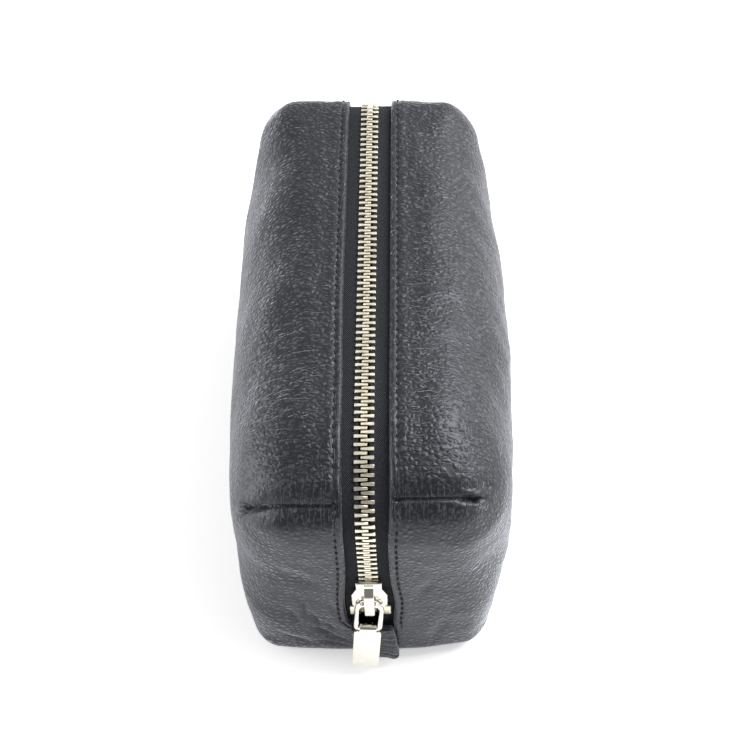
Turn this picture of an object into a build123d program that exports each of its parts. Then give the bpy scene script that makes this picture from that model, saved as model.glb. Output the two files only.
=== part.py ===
from build123d import *
import os
from math import asin, atan2, cos, degrees, pi, radians, sin, sqrt

# A boxy leather wash bag. Its metal zip runs down the near end, over the top and down the far end.
# Millimetres. X is across the bag, Y along it with the closed end of the zip at -Y, Z is up.
# The origin is on the floor, under the middle of the base.
# An inset is a depth below the outer face of the leather. A rise is a height above the middle of
# the zip chain, measured out of the bag.

# Outer size of the filled bag, over the leather
BAG_LENGTH = 218.6
BAG_WIDTH = 111.2
BAG_HEIGHT = 115.0

# Front outline: the sides bulge to the full width at the waist and draw in to the base and the top
WAIST_HEIGHT = 55.0
LOWER_SIDE_RADIUS = 230.0
UPPER_SIDE_RADIUS = 325.0
SHOULDER_RADIUS = 29.0
BASE_EDGE_RADIUS = 12.0

# Side outline: a long easy crown and then a tighter corner at the near end, one bend at the far end
CROWN_RADIUS = 53.5
CROWN_TURN = 38.0
NEAR_CORNER_RADIUS = 26.5
FAR_CORNER_RADIUS = 23.5
END_EDGE_RADIUS = 10.0

# Plan outline: long sides that bow out past the waist, widest nearer the near end, and rounded corners
SIDE_BOW_RADIUS = 1040.0
SIDE_BOW_SPARE = 0.6
SIDE_BOW_MIDDLE = -15.0
NEAR_UPRIGHT_RADIUS = 22.0
FAR_UPRIGHT_RADIUS = 16.0

# Layers of the wall, from the outside in
LEATHER = 1.4
HEM = 2.4
HEM_WIDTH = 6.0
LAYER_GAP = 0.15
FOAM = 1.3
LINING = 0.5
SEAM_GAP = 0.3
SEAM_GROOVE_DEPTH = 0.8
SEAM_SLOPE = 42.0

# Window in the leather that the zip shows through
WINDOW_HALF_WIDTH = 8.5
WINDOW_FOOT = 21.0
WINDOW_CORNER = 3.0
LINING_SETBACK = 1.0

# Base board
BOARD = 1.5
BOARD_HALF_WIDTH = 34.0
BOARD_END_MARGIN = 15.0
BOARD_CORNER = 12.0

# Zip tape
TAPE = 0.8
TAPE_EDGE = 1.9
TAPE_WIDTH = 13.0
TAPE_TAIL = 5.0

# Zip chain: one tooth of each row in every pitch
PITCH = 3.1
TOOTH_LENGTH = 1.4
TOOTH_HEIGHT = 2.9
TOOTH_REACH = 1.2
TOOTH_JAW = 1.75
HEAD_TIP_LENGTH = 0.9
JAW_CLEARANCE = 0.05
CHAIN_SINK = 1.5
CHAIN_FAR_FOOT = 36.0
STOP_LENGTH = 3.0
STOP_GAP = 0.4
BOTTOM_STOP_LENGTH = 4.0

# Slider
SLIDER_NOSE = 38.0
SLIDER_LENGTH = 20.0
PLATE = 1.3
CHANNEL_CLEARANCE = 0.3
PLATE_CLEARANCE = 0.15
FLANGE = 1.0
TAPE_SLIT = 1.1
THROAT_DEPTH = 14.0
SPREAD = 2.9
TOP_PLATE_SETBACK = 0.65
POST_LENGTH = 3.6
POST_HALF_WIDTH = 1.25
SHOULDER_DROP = 4.5
SHOULDER_RUN = 4.5
PLATE_ROUNDING = 1.2
PLATE_BEVEL = 0.35

# Crown that carries the link on the slider
CROWN_WIDTH = 3.8
CROWN_STRIP = 1.2
CROWN_CLEARANCE = 0.6
CROWN_NOSE_FOOT = 3.0
CROWN_TAIL_FOOT = 19.2
CROWN_BEND = 1.6
CROWN_SLOT_WIDTH = 1.8
CROWN_SLOT_LENGTH = 4.0

# Wire link
WIRE_RADIUS = 1.05
WIRE_SIDES = 8
LINK_WIDTH = 11.2
LINK_PIVOT_DEPTH = 7.0
LINK_LEG = 14.6
LINK_BEND = 3.0
LINK_TOE_BEND = 1.2
LINK_HANG = 7.4
LINK_SWAY = 4.5

# Pull tab
PULL_WIDTH = 10.5
PULL_LENGTH = 25.0
PULL_THICKNESS = 1.9
PULL_SHOULDER = 1.7
PULL_CORNER = 0.9
BARREL_RADIUS = 1.75
PIN_CLEARANCE = 0.08
NECK_CLEARANCE = 0.3

# Leather tabs over both ends of the zip
TAB_WIDTH = 15.0
TAB_THICKNESS = 2.8
TAB_TOP = 27.5
TAB_FOOT = 4.5
TAB_RAMP = 4.0
TAB_SEAT = 0.3
TAB_CORNER = 3.0

# Places that follow from the sizes above
HALF_LENGTH = BAG_LENGTH / 2
HALF_WIDTH = BAG_WIDTH / 2
CHAIN_INSET = CHAIN_SINK + TOOTH_HEIGHT / 2
TAPE_INSET = CHAIN_INSET - TAPE / 2
LINING_INSET = TAPE_INSET + TAPE + LAYER_GAP
FOAM_INSET = LEATHER + LAYER_GAP
TOOTH_OUTER = TAPE_EDGE + TOOTH_JAW
TAPE_OUTER = TAPE_EDGE + TAPE_WIDTH
THROAT = SLIDER_NOSE + THROAT_DEPTH
SPREAD_RADIUS = (THROAT_DEPTH**2 + SPREAD**2) / (2 * SPREAD)
TAPE_FOOT = WINDOW_FOOT - TAPE_TAIL
PLATE_RISE = TOOTH_HEIGHT / 2 + PLATE_CLEARANCE
PIVOT_RISE = PLATE_RISE + PLATE + CROWN_CLEARANCE / 2 + WIRE_RADIUS
PIVOT_HEIGHT = SLIDER_NOSE + LINK_PIVOT_DEPTH


def outline(plane, arcs, inset):
    """A closed outline of arcs joined by straight runs; an inset shrinks each arc about its centre."""
    with BuildSketch(plane) as sketch:
        with BuildLine():
            bends = [CenterArc(centre, radius - inset, start, turn) for centre, radius, start, turn in arcs]
            for bend, following in zip(bends, bends[1:] + bends[:1]):
                if (bend @ 1 - following @ 0).length > 1e-6:
                    Line(bend @ 1, following @ 0)
        make_face()
    return sketch.sketch


def mirrored(arcs):
    """The same arcs on the other side of the outline's upright axis, in the order that goes on round."""
    turned = [((-x, up), radius, 180 - start - turn, turn) for (x, up), radius, start, turn in arcs]
    return turned[::-1]


def crown_centre():
    """Centres of the near end's crown and corner, as (along, up) pairs."""
    lean = radians(90 + CROWN_TURN)
    step = CROWN_RADIUS - NEAR_CORNER_RADIUS
    corner_up = BAG_HEIGHT - CROWN_RADIUS + step * sin(lean)
    corner = (NEAR_CORNER_RADIUS - HALF_LENGTH, corner_up)
    crown = (corner[0] - step * cos(lean), BAG_HEIGHT - CROWN_RADIUS)
    return crown, corner


def side_arcs():
    """The bag seen from its right: end faces, bends and the rounded ends of the base."""
    crown, corner = crown_centre()
    edge = HALF_LENGTH - END_EDGE_RADIUS
    far = (HALF_LENGTH - FAR_CORNER_RADIUS, BAG_HEIGHT - FAR_CORNER_RADIUS)
    return [
        ((edge, END_EDGE_RADIUS), END_EDGE_RADIUS, -90, 90),
        (far, FAR_CORNER_RADIUS, 0, 90),
        (crown, CROWN_RADIUS, 90, CROWN_TURN),
        (corner, NEAR_CORNER_RADIUS, 90 + CROWN_TURN, 90 - CROWN_TURN),
        ((-edge, END_EDGE_RADIUS), END_EDGE_RADIUS, 180, 90),
    ]


def front_arcs():
    """The bag seen from its near end: base edge, lower side, upper side and shoulder, on both sides."""
    low = asin((WAIST_HEIGHT - BASE_EDGE_RADIUS) / (LOWER_SIDE_RADIUS - BASE_EDGE_RADIUS))
    high = asin((BAG_HEIGHT - SHOULDER_RADIUS - WAIST_HEIGHT) / (UPPER_SIDE_RADIUS - SHOULDER_RADIUS))
    base_x = HALF_WIDTH - LOWER_SIDE_RADIUS + (LOWER_SIDE_RADIUS - BASE_EDGE_RADIUS) * cos(low)
    shoulder_x = HALF_WIDTH - UPPER_SIDE_RADIUS + (UPPER_SIDE_RADIUS - SHOULDER_RADIUS) * cos(high)
    low, high = degrees(low), degrees(high)
    right = [
        ((base_x, BASE_EDGE_RADIUS), BASE_EDGE_RADIUS, -90, 90 - low),
        ((HALF_WIDTH - LOWER_SIDE_RADIUS, WAIST_HEIGHT), LOWER_SIDE_RADIUS, -low, low),
        ((HALF_WIDTH - UPPER_SIDE_RADIUS, WAIST_HEIGHT), UPPER_SIDE_RADIUS, 0, high),
        ((shoulder_x, BAG_HEIGHT - SHOULDER_RADIUS), SHOULDER_RADIUS, high, 90 - high),
    ]
    return right + mirrored(right)


def plan_arcs():
    """The bag seen from above: two bowed sides and four upright corners."""
    bow_x = HALF_WIDTH + SIDE_BOW_SPARE - SIDE_BOW_RADIUS
    corners = []
    for end, radius in ((-1, NEAR_UPRIGHT_RADIUS), (1, FAR_UPRIGHT_RADIUS)):
        corner_y = end * (HALF_LENGTH - radius)
        offset = abs(corner_y - SIDE_BOW_MIDDLE)
        run = sqrt((SIDE_BOW_RADIUS - radius) ** 2 - offset**2)
        corners.append(((bow_x + run, corner_y), radius, degrees(atan2(offset, run))))
    (near, near_radius, near_turn), (far, far_radius, far_turn) = corners
    right = [
        (near, near_radius, -90, 90 - near_turn),
        ((bow_x, SIDE_BOW_MIDDLE), SIDE_BOW_RADIUS, -near_turn, near_turn + far_turn),
        (far, far_radius, far_turn, 90 - far_turn),
    ]
    return right + mirrored(right)


def form(inset):
    """The filled shape of the bag, drawn in from the face of the leather by the inset."""
    side = extrude(outline(Plane.YZ, side_arcs(), inset), BAG_WIDTH, both=True)
    front = extrude(outline(Plane.XZ, front_arcs(), inset), BAG_LENGTH, both=True)
    plan = extrude(outline(Plane.XY, plan_arcs(), inset), 2 * BAG_HEIGHT, both=True)
    return side & front & plan


def layer(inset, thickness):
    """A closed skin of the bag's shape, from the inset inwards."""
    return form(inset) - form(inset + thickness)


def window(half_width, foot, corner=0):
    """A slot cut over the top and down both ends of the bag, with the corners of its foot rounded."""
    slot = Rectangle(2 * half_width, 2 * (BAG_HEIGHT - foot))
    if corner:
        slot = fillet(slot.vertices(), corner)
    return extrude(Plane.XZ * Pos(0, BAG_HEIGHT) * slot, BAG_LENGTH, both=True)


def right_half():
    """The space on the right of the centre seams."""
    width = BAG_WIDTH
    return Pos(SEAM_GAP / 2 + width / 2, 0, BAG_HEIGHT / 2) * Box(width, 2 * BAG_LENGTH, 2 * BAG_HEIGHT)


def seam_grooves():
    """The sunk seams across the top of both ends, where the boxed corners are sewn."""
    _, near = crown_centre()
    far = (HALF_LENGTH - FAR_CORNER_RADIUS, BAG_HEIGHT - FAR_CORNER_RADIUS)
    slope = radians(90 + SEAM_SLOPE)
    near_seam = (near[0] + NEAR_CORNER_RADIUS * cos(slope), near[1] + NEAR_CORNER_RADIUS * sin(slope))
    far_seam = (far[0] - FAR_CORNER_RADIUS * cos(slope), far[1] + FAR_CORNER_RADIUS * sin(slope))
    side = SEAM_GROOVE_DEPTH * sqrt(2)
    groove = Box(2 * BAG_WIDTH, side, side)
    near_groove = Pos(0, *near_seam) * Rot(SEAM_SLOPE + 45, 0, 0) * groove
    far_groove = Pos(0, *far_seam) * Rot(45 - SEAM_SLOPE, 0, 0) * groove
    return [near_groove, far_groove]


def panel():
    """The right leather panel: half the bag's skin, thicker where it is turned in beside the zip."""
    lap = LEATHER / 2
    hem = layer(LEATHER - lap, HEM - LEATHER + lap) & window(WINDOW_HALF_WIDTH + HEM_WIDTH, TAPE_FOOT)
    skin = layer(0, LEATHER) + hem - window(WINDOW_HALF_WIDTH, WINDOW_FOOT, WINDOW_CORNER)
    return (skin & right_half()) - seam_grooves()


def interlining():
    """The right foam layer: the walls and ends, cut back round the zip tape and the base board."""
    setback = TAPE_OUTER + LAYER_GAP
    foam = layer(FOAM_INSET, FOAM) - window(setback, TAPE_FOOT - LAYER_GAP)
    board_space = Box(
        2 * (BOARD_HALF_WIDTH + LAYER_GAP),
        BAG_LENGTH - 2 * (BOARD_END_MARGIN - LAYER_GAP),
        2 * (FOAM_INSET + FOAM + LAYER_GAP),
    )
    return (foam - board_space) & right_half()


def lining():
    """The right lining, sewn to the tape beside the chain."""
    setback = WINDOW_HALF_WIDTH + LINING_SETBACK
    cloth = layer(LINING_INSET, LINING) - window(setback, WINDOW_FOOT)
    return cloth & right_half()


def base_board():
    """The stiff board between the leather and the lining of the base."""
    plate = Rectangle(2 * BOARD_HALF_WIDTH, BAG_LENGTH - 2 * BOARD_END_MARGIN)
    plate = chamfer(plate.vertices(), BOARD_CORNER)
    return Pos(0, 0, FOAM_INSET) * extrude(plate, BOARD)


def spread_at(drop):
    """How far a row of teeth has swung out at a drop below the throat of the slider."""
    drop = min(max(drop, 0), THROAT_DEPTH)
    return SPREAD_RADIUS - sqrt(SPREAD_RADIUS**2 - drop**2)


def flared(half_width, top, foot):
    """Half of a channel that is straight above the throat and flares like the rows of teeth below it."""
    middle = THROAT_DEPTH / 2
    with BuildSketch(Plane.XZ) as sketch:
        with BuildLine():
            arc = ThreePointArc(
                (half_width, THROAT),
                (half_width + spread_at(middle), THROAT - middle),
                (half_width + SPREAD, SLIDER_NOSE),
            )
            Polyline(arc @ 1, (half_width + SPREAD, foot), (0, foot), (0, top), (half_width, top), arc @ 0)
        make_face()
    return sketch.sketch


def tape():
    """The right tape: a strip over the bag under the hem, its edge swung out inside the slider."""
    tall = BAG_HEIGHT - TAPE_FOOT
    strip = Pos(TAPE_EDGE + TAPE_WIDTH / 2, 0, TAPE_FOOT + tall / 2) * Box(TAPE_WIDTH, BAG_LENGTH, tall)
    band = layer(TAPE_INSET, TAPE) & strip
    return band - extrude(flared(TAPE_EDGE, THROAT + PITCH, TAPE_FOOT - PITCH), BAG_LENGTH)


def chain_runs():
    """The zip's way over the bag from the slider's nose, as (length, radius) runs; a straight has 0."""
    crown, corner = crown_centre()
    far_y = HALF_LENGTH - FAR_CORNER_RADIUS
    far_z = BAG_HEIGHT - FAR_CORNER_RADIUS
    bends = [
        (NEAR_CORNER_RADIUS - CHAIN_INSET, 90 - CROWN_TURN),
        (CROWN_RADIUS - CHAIN_INSET, CROWN_TURN),
        (FAR_CORNER_RADIUS - CHAIN_INSET, 90),
    ]
    near, top, far = [(radius * radians(turn), radius) for radius, turn in bends]
    rise, back, fall = corner[1] - SLIDER_NOSE, far_y - crown[0], far_z - CHAIN_FAR_FOOT
    return [(rise, 0), near, top, (back, 0), far, (fall, 0)]


def chain_place(distance, row=1):
    """Where a tooth of the right (1) or left (-1) row sits: +Y runs along the chain, +Z out of the bag."""
    y, z, heading = CHAIN_INSET - HALF_LENGTH, SLIDER_NOSE, pi / 2
    left = distance
    for length, radius in chain_runs():
        step = min(left, length)
        turn = step / radius if radius else 0
        y += radius * (sin(heading) - sin(heading - turn)) if radius else step * cos(heading)
        z += radius * (cos(heading - turn) - cos(heading)) if radius else step * sin(heading)
        heading -= turn
        left -= step
    drop = max(THROAT_DEPTH - distance, 0)
    sway = degrees(asin(drop / SPREAD_RADIUS))
    x = row * (TAPE_EDGE + spread_at(drop))
    return Pos(x, y, z) * Rot(degrees(heading), 0, 0) * Rot(0, 0, row * sway)


def jaw_slot(length):
    """The space for the tape between the jaws of a tooth or a stop of that length."""
    reach = TOOTH_JAW + 2 * JAW_CLEARANCE
    return Pos(TOOTH_JAW / 2, 0, 0) * Box(reach, 2 * length, TAPE + 2 * JAW_CLEARANCE)


def tooth():
    """A right tooth about the edge of its tape: a head that crosses the centre, and two jaws."""
    tip = -(TAPE_EDGE + TOOTH_REACH)
    half_tip, half = HEAD_TIP_LENGTH / 2, TOOTH_LENGTH / 2
    plan = Polygon((tip, -half_tip), (TOOTH_JAW, -half), (TOOTH_JAW, half), (tip, half_tip), align=None)
    body = extrude(plan, TOOTH_HEIGHT / 2, both=True)
    return body - jaw_slot(TOOTH_LENGTH)


def stop():
    """A right top stop: a block clamped round the edge of the tape under the last tooth."""
    body = Box(2 * TOOTH_JAW, STOP_LENGTH, TOOTH_HEIGHT)
    return body - jaw_slot(STOP_LENGTH)


def row_starts():
    """The distances of the first right tooth and the first left tooth, half a pitch on."""
    first = STOP_LENGTH + STOP_GAP + TOOTH_LENGTH / 2
    return first, first + PITCH / 2


def chain_teeth():
    """Both rows of teeth, each tooth between two of the other row."""
    total = sum(length for length, _ in chain_runs())
    right_tooth = tooth()
    left_tooth = mirror(right_tooth, about=Plane.YZ)
    rows = []
    for first, shape, row in zip(row_starts(), (right_tooth, left_tooth), (1, -1)):
        count = int((total - first) / PITCH)
        rows.append(Compound([chain_place(first + i * PITCH, row) * shape for i in range(count)]))
    return rows


def top_stops():
    """The two stops that the slider closes onto, one on each tape."""
    back = TOOTH_LENGTH / 2 + STOP_GAP + STOP_LENGTH / 2
    right_stop = stop()
    shapes = (right_stop, mirror(right_stop, about=Plane.YZ))
    return Compound([
        chain_place(first - back, row) * shape for first, shape, row in zip(row_starts(), shapes, (1, -1))
    ])


def bottom_stop():
    """The block that joins both tapes beyond the last teeth, at the far end."""
    total = sum(length for length, _ in chain_runs())
    width = 2 * TOOTH_OUTER
    block = Box(width, BOTTOM_STOP_LENGTH, TOOTH_HEIGHT)
    block = chamfer(block.edges().filter_by(Axis.Z), TOOTH_LENGTH / 2)
    slot = Box(TOOTH_OUTER, 2 * BOTTOM_STOP_LENGTH, TAPE + 2 * JAW_CLEARANCE)
    shift = TAPE_EDGE - JAW_CLEARANCE + TOOTH_OUTER / 2
    block -= [Pos(side * shift, 0, 0) * slot for side in (1, -1)]
    place = chain_place(total + TOOTH_LENGTH / 2 + STOP_GAP + BOTTOM_STOP_LENGTH / 2)
    return Pos(-TAPE_EDGE, 0, 0) * place * block


def on_near_face(shape, rise, thickness):
    """A flat shape drawn on the near end, raised from a rise above the chain's middle."""
    return Pos(0, -(HALF_LENGTH - CHAIN_INSET + rise), 0) * extrude(shape, thickness, dir=(0, -1, 0))


def slider_plate(half_width, nose, nose_half_width, corner_height):
    """The plan of a slider plate: narrow tail, shoulders, full width and drawn-in nose."""
    tail = SLIDER_NOSE + SLIDER_LENGTH
    tail_half = TOOTH_OUTER + CHANNEL_CLEARANCE + FLANGE
    right = [
        (tail_half, tail),
        (tail_half, tail - SHOULDER_DROP),
        (half_width, tail - SHOULDER_DROP - SHOULDER_RUN),
        (half_width, corner_height),
        (nose_half_width, nose),
    ]
    shape = Plane.XZ * Polygon(*right, *[(-x, z) for x, z in reversed(right)], align=None)
    body = shape.vertices().filter_by(lambda v: v.Z < tail - PLATE_ROUNDING)
    return fillet(body, PLATE_ROUNDING)


def slider_body():
    """Two plates joined by the wedge that parts the teeth, with flanges round the chain."""
    channel_half = TOOTH_OUTER + CHANNEL_CLEARANCE
    wide = channel_half + SPREAD + FLANGE - CHANNEL_CLEARANCE
    nose = SLIDER_NOSE
    lower = slider_plate(wide, nose, wide - PLATE, nose + PLATE)
    upper = slider_plate(wide - TOP_PLATE_SETBACK, nose + PLATE, wide / 2, nose + THROAT_DEPTH / 2)
    half_channel = flared(channel_half, THROAT + THROAT_DEPTH, nose - PLATE)
    channel = half_channel + mirror(half_channel, about=Plane.YZ)
    top = on_near_face(upper, PLATE_RISE, PLATE)
    outer_rim = top.faces().sort_by(Axis.Y)[0].edges()
    top = chamfer(outer_rim, PLATE_BEVEL)
    flange = PLATE_RISE - TAPE_SLIT / 2
    top += on_near_face(upper - channel, TAPE_SLIT / 2, flange)
    bottom = on_near_face(lower, -PLATE_RISE - PLATE, PLATE)
    bottom += on_near_face(lower - channel, -PLATE_RISE, flange)
    foot = nose + PLATE_BEVEL
    wedge = Polygon((0, nose + POST_LENGTH), (-POST_HALF_WIDTH, foot), (POST_HALF_WIDTH, foot), align=None)
    return top + bottom + on_near_face(Plane.XZ * wedge, -PLATE_RISE, 2 * PLATE_RISE)


def slider_crown():
    """The arched strip on the slider that holds the link, with a slot in its top."""
    seat = PLATE_RISE + PLATE
    inner_rise = seat + CROWN_CLEARANCE + 2 * WIRE_RADIUS
    outer_rise = inner_rise + CROWN_STRIP
    low, high = SLIDER_NOSE + CROWN_NOSE_FOOT, SLIDER_NOSE + CROWN_TAIL_FOOT
    face = CHAIN_INSET - HALF_LENGTH
    tail_inner = high - CROWN_STRIP - CROWN_BEND
    outer = Polygon(
        (face - seat, low), (face - outer_rise, low + CROWN_STRIP),
        (face - outer_rise, high - 2 * CROWN_BEND), (face - seat - CROWN_BEND, high), (face - seat, high),
        align=None,
    )
    inner = Polygon(
        (face - seat + CROWN_STRIP, low + CROWN_STRIP), (face - seat - CROWN_STRIP, low + CROWN_STRIP),
        (face - inner_rise, low + 2 * CROWN_STRIP), (face - inner_rise, tail_inner - CROWN_BEND),
        (face - seat - CROWN_BEND / 2, high - CROWN_STRIP), (face - seat + CROWN_STRIP, high - CROWN_STRIP),
        align=None,
    )
    outer = fillet(outer.vertices().filter_by(lambda v: v.X < face - seat - CROWN_BEND), CROWN_BEND)
    strip = extrude(Plane.YZ * (outer - inner), CROWN_WIDTH / 2, both=True)
    slot = Pos(0, face - outer_rise, high - 2 * CROWN_BEND - CROWN_SLOT_LENGTH / 2)
    return strip - slot * Box(CROWN_SLOT_WIDTH, 2 * CROWN_STRIP, CROWN_SLOT_LENGTH)


def link_place():
    """The link's place at rest: it hangs from the crown, leans out over the end tab and sways left."""
    pivot_y = CHAIN_INSET - HALF_LENGTH - PIVOT_RISE
    return Pos(0, pivot_y, PIVOT_HEIGHT) * Rot(-LINK_HANG, 0, 0) * Rot(0, LINK_SWAY, 0)


def pull_link():
    """One bent wire: a bar under the crown, two legs, and toes turned in to the pull's barrel."""
    leg_x = LINK_WIDTH / 2 - WIRE_RADIUS
    toe_x = leg_x - WIRE_RADIUS - LINK_TOE_BEND
    right = [(leg_x, 0, 0), (leg_x, 0, -LINK_LEG), (toe_x, 0, -LINK_LEG)]
    left = [(-x, y, z) for x, y, z in right]
    bends = [LINK_TOE_BEND, LINK_BEND, LINK_BEND, LINK_TOE_BEND]
    path = FilletPolyline(*reversed(right), *left, radius=bends)
    section = Plane(origin=path @ 0, z_dir=path % 0) * RegularPolygon(WIRE_RADIUS, WIRE_SIDES)
    return link_place() * sweep(section, path=path)


def pull_tab():
    """A flat tab with a narrow neck and a drilled barrel that the link's toes turn in."""
    neck_half = LINK_WIDTH / 2 - 2 * WIRE_RADIUS - NECK_CLEARANCE
    half = PULL_WIDTH / 2
    blade = Polygon(
        (half, -PULL_SHOULDER), (half, -PULL_LENGTH), (-half, -PULL_LENGTH), (-half, -PULL_SHOULDER),
        align=None,
    )
    blade = fillet(blade.vertices(), PULL_CORNER)
    neck = Pos(0, -PULL_SHOULDER) * Rectangle(2 * neck_half, 2 * PULL_SHOULDER)
    flat = extrude(Plane.XZ * (blade + neck), PULL_THICKNESS / 2, both=True)
    barrel = Rot(0, 90, 0) * Cylinder(BARREL_RADIUS, 2 * neck_half)
    bore = Rot(0, 90, 0) * Cylinder(WIRE_RADIUS + PIN_CLEARANCE, 2 * neck_half + PULL_THICKNESS)
    return link_place() * Pos(0, 0, -LINK_LEG) * (flat + barrel - bore)


def end_tab():
    """The folded leather tab that covers the zip's near end and stands out over the seam below it."""
    back = TAPE / 2 + TAB_SEAT
    over = CHAIN_INSET + TAB_SEAT
    edge = WINDOW_FOOT + TAB_SEAT
    corners = [
        (back, TAB_TOP), (back, edge + TAB_RAMP), (over, edge), (over, TAB_FOOT),
        (over + TAB_THICKNESS, TAB_FOOT), (over + TAB_THICKNESS, edge - TAB_SEAT),
        (back + TAB_THICKNESS, edge + TAB_RAMP - TAB_SEAT), (back + TAB_THICKNESS, TAB_TOP),
    ]
    face = CHAIN_INSET - HALF_LENGTH
    profile = Plane.YZ * Polygon(*[(face - rise, z) for rise, z in corners], align=None)
    fold = extrude(profile, TAB_WIDTH, both=True)
    plan = Pos(0, (TAB_TOP + TAB_FOOT) / 2) * Rectangle(TAB_WIDTH, TAB_TOP - TAB_FOOT)
    plan = fillet(plan.vertices().group_by(Axis.Y)[0], TAB_CORNER)
    return fold & extrude(Plane.XZ * plan, BAG_LENGTH)


def write(name, shape):
    """Save one named piece."""
    shape.label = name
    export_step(shape, f"parts/{name}.step")


os.makedirs("parts", exist_ok=True)
for piece, shape in (
    ("panel", panel()), ("interlining", interlining()), ("lining", lining()), ("zip_tape", tape()),
):
    write(f"right_{piece}", shape)
    write(f"left_{piece}", mirror(shape, about=Plane.YZ))

right_teeth, left_teeth = chain_teeth()
near_tab = end_tab()
for name, shape in (
    ("base_board", base_board()),
    ("right_teeth", right_teeth),
    ("left_teeth", left_teeth),
    ("top_stops", top_stops()),
    ("bottom_stop", bottom_stop()),
    ("near_end_tab", near_tab),
    ("far_end_tab", mirror(near_tab, about=Plane.XZ)),
    ("slider_body", slider_body()),
    ("slider_crown", slider_crown()),
    ("pull_link", pull_link()),
    ("pull_tab", pull_tab()),
):
    write(name, shape)
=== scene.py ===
from math import cos, pi, radians, sin, sqrt, tau

import bpy
import numpy as np
from mathutils import Matrix, Vector


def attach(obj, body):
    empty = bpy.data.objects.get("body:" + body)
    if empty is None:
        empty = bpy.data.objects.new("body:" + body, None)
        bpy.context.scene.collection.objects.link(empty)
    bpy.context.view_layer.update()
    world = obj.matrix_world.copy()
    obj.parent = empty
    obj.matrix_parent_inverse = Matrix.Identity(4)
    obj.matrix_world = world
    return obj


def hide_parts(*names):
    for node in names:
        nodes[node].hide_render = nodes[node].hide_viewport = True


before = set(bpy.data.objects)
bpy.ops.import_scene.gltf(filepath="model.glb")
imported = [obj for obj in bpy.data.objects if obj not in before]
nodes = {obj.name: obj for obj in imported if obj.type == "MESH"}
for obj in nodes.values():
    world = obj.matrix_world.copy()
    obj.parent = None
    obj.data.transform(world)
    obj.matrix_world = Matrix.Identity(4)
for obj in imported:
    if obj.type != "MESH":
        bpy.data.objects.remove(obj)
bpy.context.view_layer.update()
MM = 0.001

# Sizes in millimetres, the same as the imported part's
HALF_LENGTH = 109.3
HEIGHT = 115.0
HALF_WIDTH = 54.0
BASE_BEND = 10.0
NEAR_BEND = 26.5
NEAR_TURN = 52.0
CROWN_BEND = 53.5
CROWN_TURN = 38.0
FAR_BEND = 23.5
NEAR_BEND_HEIGHT = 82.78
CROWN_START = -66.18
SEAM_SLOPE = 42.0


# ---------------------------------------------------------------- materials

def colour(code):
    """An sRGB hex colour as the linear RGBA that Blender's sockets take."""
    parts = [int(code[i:i + 2], 16) / 255 for i in (1, 3, 5)]
    return [c / 12.92 if c <= 0.04045 else ((c + 0.055) / 1.055) ** 2.4 for c in parts] + [1.0]


def add(material, kind, inputs=None, links=None, **settings):
    """Adds a node to a material with its settings, socket values and incoming links."""
    tree = material.node_tree
    node = tree.nodes.new(kind)
    for name, value in settings.items():
        setattr(node, name, value)
    for name, value in (inputs or {}).items():
        node.inputs[name].default_value = value
    for name, source in (links or {}).items():
        tree.links.new(source, node.inputs[name])
    return node


def finish_named(name):
    """A new material and its shader node."""
    material = bpy.data.materials.new(name)
    material.use_nodes = True
    return material, material.node_tree.nodes["Principled BSDF"]


def ramp(material, source, stops):
    """A colour ramp over a value, from (place, colour) stops."""
    node = add(material, "ShaderNodeValToRGB", links={"Fac": source})
    elements = node.color_ramp.elements
    while len(elements) < len(stops):
        elements.new(0.5)
    for element, (place, code) in zip(elements, stops):
        element.position = place
        element.color = colour(code)
    return node


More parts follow.
